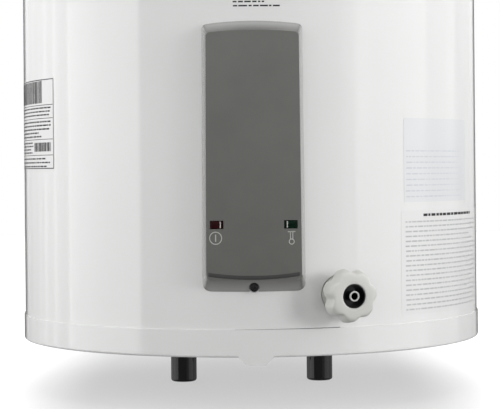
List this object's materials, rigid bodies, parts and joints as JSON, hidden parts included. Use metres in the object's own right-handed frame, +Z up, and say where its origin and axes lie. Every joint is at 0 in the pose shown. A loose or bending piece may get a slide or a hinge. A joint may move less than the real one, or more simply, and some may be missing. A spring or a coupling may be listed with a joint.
{
  "type": "storage water heater",
  "caption": "Wall-hung electric storage water heater: white cylinder with a grey front cover, drain valve and bottom pipe sockets.",
  "frame": {"origin": "middle of the four wall slots, on the wall plane", "axes": "+Z up along the tank, +Y into the wall, the front cover faces -Y, the drain valve is to the right at +X"},
  "size_m": [0.4572, 0.5008, 0.6712],
  "materials": {
    "white_enamel": "gloss",
    "bracket_paint": "satin",
    "tank_enamel": "glass enamel, satin outside",
    "galvanised": "galvanised",
    "grey_plastic": "fine texture",
    "white_plastic": "satin",
    "black_plastic": "gloss",
    "black_rubber": "matte",
    "foam": "open foam skin",
    "brass": "turned",
    "steel": "zinc plated",
    "copper_sheath": "drawn",
    "magnesium": "cast",
    "phenolic": "moulded",
    "red_plastic": "gloss",
    "red_lens": "clear tinted",
    "green_lens": "clear tinted",
    "natural_nylon": "moulded",
    "lead_insulation": "sleeved",
    "earth_insulation": "sleeved"
  },
  "bodies": {
    "heater": {"jacket": "white_enamel", "top_cap": "white_enamel", "base_pan": "white_enamel", "cover_rivet_nut": "steel", "compartment_liner": "galvanised", "insulation_foam": "foam", "tank_shell": "tank_enamel", "tank_top_head": "tank_enamel", "tank_bottom_head": "tank_enamel", "pipe_spuds": "steel", "pipe_nipples": "steel", "pipe_grommets": "black_rubber", "cold_inlet_socket": "black_plastic", "hot_outlet_socket": "black_plastic", "inlet_diffuser": "natural_nylon", "hot_riser_tube": "copper_sheath", "anode_rod": "magnesium", "anode_spud": "steel", "anode_plug": "brass", "anode_gasket": "black_rubber", "anode_access_cap": "white_plastic", "element_spud": "steel", "element_gasket": "black_rubber", "element_head": "brass", "element_terminals": "steel", "element_sheath": "copper_sheath", "thermostat_body": "phenolic", "thermostat_bracket": "galvanised", "thermostat_terminal_screws": "brass", "lamp_carrier": "natural_nylon", "power_lamp": "red_lens", "heating_lamp": "green_lens", "terminal_block": "natural_nylon", "terminal_block_screws": "steel", "earth_screw": "brass", "cable_gland": "black_plastic", "gland_nut": "black_plastic", "wire_conduit": "black_plastic", "live_and_neutral_leads": "lead_insulation", "element_link_lead": "lead_insulation", "earth_lead": "earth_insulation", "drain_spud": "steel", "drain_valve_body": "white_plastic", "drain_seal": "black_rubber", "drain_escutcheon": "white_plastic", "lower_wall_bracket": "bracket_paint", "upper_wall_bracket": "bracket_paint", "bracket_pads": "steel", "bracket_studs": "steel", "bracket_nuts": "steel"},
    "cover": {"access_cover": "grey_plastic", "cover_screw": "steel"},
    "drain_spindle": {"drain_spindle": "black_plastic"},
    "drain_wheel": {"drain_wheel": "white_plastic"},
    "thermostat_dial": {"thermostat_dial": "white_plastic"},
    "reset_button": {"reset_button": "red_plastic"}
  },
  "joints": [
    {"name": "cover_tip", "type": "hinge", "parent": "heater", "child": "cover", "pos_m": [0, -0.4775, -0.01174], "axis": [-1, 0, 0], "range_deg": [0, 45]},
    {"name": "spindle_travel", "type": "slide", "parent": "heater", "child": "drain_spindle", "axis": [0.3355, -0.9421, 0], "range_m": [0, 0.006]},
    {"name": "wheel_turn", "type": "hinge", "parent": "drain_spindle", "child": "drain_wheel", "pos_m": [0.08386, -0.48501, -0.2556], "axis": [0.3355, -0.9421, 0], "range_deg": [0, 540]},
    {"name": "dial_turn", "type": "hinge", "parent": "heater", "child": "thermostat_dial", "pos_m": [0, -0.4665, -0.068], "axis": [0, -1, 0], "range_deg": [0, 270]},
    {"name": "reset_press", "type": "slide", "parent": "heater", "child": "reset_button", "axis": [0, 1, 0], "range_m": [0, 0.0025], "stiffness_N_per_m": 600, "springref_m": -0.001}
  ],
  "couplings": [
    {"joint": "spindle_travel", "follows": "wheel_turn", "m_per_rad": 0.0006366}
  ]
}
